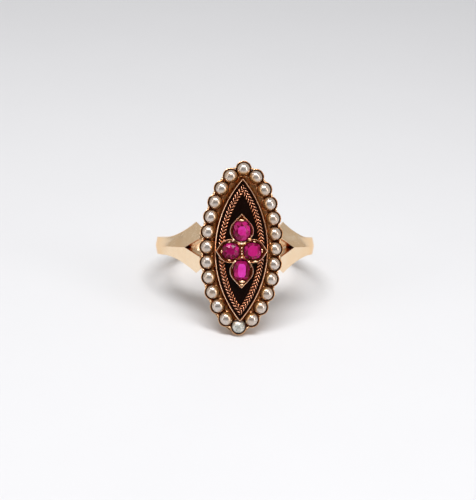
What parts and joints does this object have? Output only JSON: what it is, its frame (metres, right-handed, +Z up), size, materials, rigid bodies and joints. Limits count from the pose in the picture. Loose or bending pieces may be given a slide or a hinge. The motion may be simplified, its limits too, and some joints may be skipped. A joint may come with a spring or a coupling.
{
  "type": "navette ring",
  "caption": "Finger ring with a long pointed head: half pearls in a scalloped gold border round black enamel, a double rope wire and cushion-cut red stones in a quatrefoil.",
  "frame": {"origin": "on the surface that the ring lies on, under the middle of its bounding box", "axes": "+Z is up with the ring lying on its side, +X is to the wearer's side across the head, +Y is from the head towards the back of the band; the finger hole's axis leans from +Z towards +Y by 26.48 degrees"},
  "size_m": [0.0198, 0.023, 0.0191],
  "materials": {
    "gold": null,
    "pearl": "satin nacre, cream with a faint warm overtone",
    "ruby": "polished pink-red gemstone",
    "enamel": "polished black enamel with faint wear"
  },
  "bodies": {
    "root": {"ring_mount": "gold", "enamel_top": "enamel", "enamel_bottom": "enamel", "enamel_line_top": "enamel", "enamel_line_bottom": "enamel", "ruby_top": "ruby", "ruby_right": "ruby", "ruby_bottom": "ruby", "ruby_left": "ruby", "pearl_01": "pearl", "pearl_02": "pearl", "pearl_03": "pearl", "pearl_04": "pearl", "pearl_05": "pearl", "pearl_06": "pearl", "pearl_07": "pearl", "pearl_08": "pearl", "pearl_09": "pearl", "pearl_10": "pearl", "pearl_11": "pearl", "pearl_12": "pearl", "pearl_13": "pearl", "pearl_14": "pearl", "pearl_15": "pearl", "pearl_16": "pearl", "pearl_17": "pearl", "pearl_18": "pearl", "pearl_19": "pearl", "pearl_20": "pearl", "pearl_21": "pearl", "pearl_22": "pearl", "pearl_23": "pearl", "pearl_24": "pearl"}
  },
  "joints": []
}
